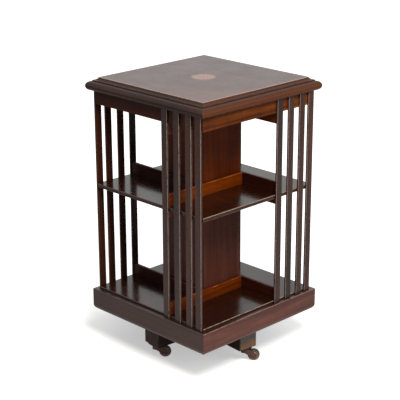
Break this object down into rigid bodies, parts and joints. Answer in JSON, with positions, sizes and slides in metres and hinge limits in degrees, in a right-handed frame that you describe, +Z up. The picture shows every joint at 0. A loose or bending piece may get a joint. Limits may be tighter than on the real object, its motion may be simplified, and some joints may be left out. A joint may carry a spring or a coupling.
{
  "type": "revolving bookcase",
  "caption": "Square two-tier revolving bookcase on a cross base with castors; its open case with slatted sides turns on a central iron spindle.",
  "frame": {"origin": "on the floor, under the spindle's axis, at the centre of the footprint", "axes": "+Z up along the spindle; +X and -Y out through the two faces of the case seen in the picture"},
  "size_m": [0.4576, 0.4576, 0.782],
  "materials": {
    "mahogany": "french polished",
    "mahogany_top": "french polished",
    "inlay": "polished satinwood and boxwood",
    "base_wood": "stained and worn",
    "secondary_wood": "raw, planed",
    "iron": "blackened",
    "wheel_iron": "worn brown"
  },
  "bodies": {
    "base": {"base_arm_long": "base_wood", "base_arm_cross": "base_wood", "spindle": "iron", "flange_screws": "iron", "castor_plates": "iron"},
    "case": {"apron_back": "mahogany", "apron_front": "mahogany", "apron_left": "mahogany", "apron_right": "mahogany", "bottom_shelf": "mahogany", "guide_bush": "iron", "lower_column_back": "mahogany", "lower_column_front": "mahogany", "lower_column_left": "mahogany", "lower_column_right": "mahogany", "lower_fence_back": "mahogany", "lower_fence_front": "mahogany", "lower_fence_left": "mahogany", "lower_fence_right": "mahogany", "middle_shelf": "mahogany", "pivot_cup": "iron", "plinth_back": "mahogany", "plinth_blocks": "secondary_wood", "plinth_front": "mahogany", "plinth_left": "mahogany", "plinth_right": "mahogany", "shelf_rail_back": "mahogany", "shelf_rail_front": "mahogany", "shelf_rail_left": "mahogany", "shelf_rail_right": "mahogany", "slats_back": "mahogany", "slats_front": "mahogany", "slats_left": "mahogany", "slats_right": "mahogany", "top_inlay": "inlay", "top_mouldings": "mahogany", "top_panel": "mahogany_top", "top_rail_back": "mahogany", "top_rail_front": "mahogany", "top_rail_left": "mahogany", "top_rail_right": "mahogany", "upper_column_back": "mahogany", "upper_column_front": "mahogany", "upper_column_left": "mahogany", "upper_column_right": "mahogany", "upper_fence_back": "mahogany", "upper_fence_front": "mahogany", "upper_fence_left": "mahogany", "upper_fence_right": "mahogany"},
    "fork_right": {"castor_fork_right": "iron"},
    "wheel_right": {"castor_wheel_right": "wheel_iron"},
    "fork_back": {"castor_fork_back": "iron"},
    "wheel_back": {"castor_wheel_back": "wheel_iron"},
    "fork_left": {"castor_fork_left": "iron"},
    "wheel_left": {"castor_wheel_left": "wheel_iron"},
    "fork_front": {"castor_fork_front": "iron"},
    "wheel_front": {"castor_wheel_front": "wheel_iron"}
  },
  "joints": [
    {"name": "case_turn", "type": "hinge", "parent": "base", "child": "case", "pos_m": [0, 0, 0.1116], "axis": [0, 0, 1], "continuous": true},
    {"name": "castor_swivel_right", "type": "hinge", "parent": "base", "child": "fork_right", "pos_m": [0.17633, -0.01543, 0.0396], "axis": [0, 0, 1], "continuous": true},
    {"name": "castor_roll_right", "type": "hinge", "parent": "fork_right", "child": "wheel_right", "pos_m": [0.19471, 0.00296, 0.017], "axis": [-0.7071, 0.7071, 0], "continuous": true},
    {"name": "castor_swivel_back", "type": "hinge", "parent": "base", "child": "fork_back", "pos_m": [0.01543, 0.17633, 0.0396], "axis": [0, 0, 1], "continuous": true},
    {"name": "castor_roll_back", "type": "hinge", "parent": "fork_back", "child": "wheel_back", "pos_m": [0.03381, 0.19471, 0.017], "axis": [-0.7071, 0.7071, 0], "continuous": true},
    {"name": "castor_swivel_left", "type": "hinge", "parent": "base", "child": "fork_left", "pos_m": [-0.17633, 0.01543, 0.0396], "axis": [0, 0, 1], "continuous": true},
    {"name": "castor_roll_left", "type": "hinge", "parent": "fork_left", "child": "wheel_left", "pos_m": [-0.15794, 0.03381, 0.017], "axis": [-0.7071, 0.7071, 0], "continuous": true},
    {"name": "castor_swivel_front", "type": "hinge", "parent": "base", "child": "fork_front", "pos_m": [-0.01543, -0.17633, 0.0396], "axis": [0, 0, 1], "continuous": true},
    {"name": "castor_roll_front", "type": "hinge", "parent": "fork_front", "child": "wheel_front", "pos_m": [0.00296, -0.15794, 0.017], "axis": [-0.7071, 0.7071, 0], "continuous": true}
  ]
}
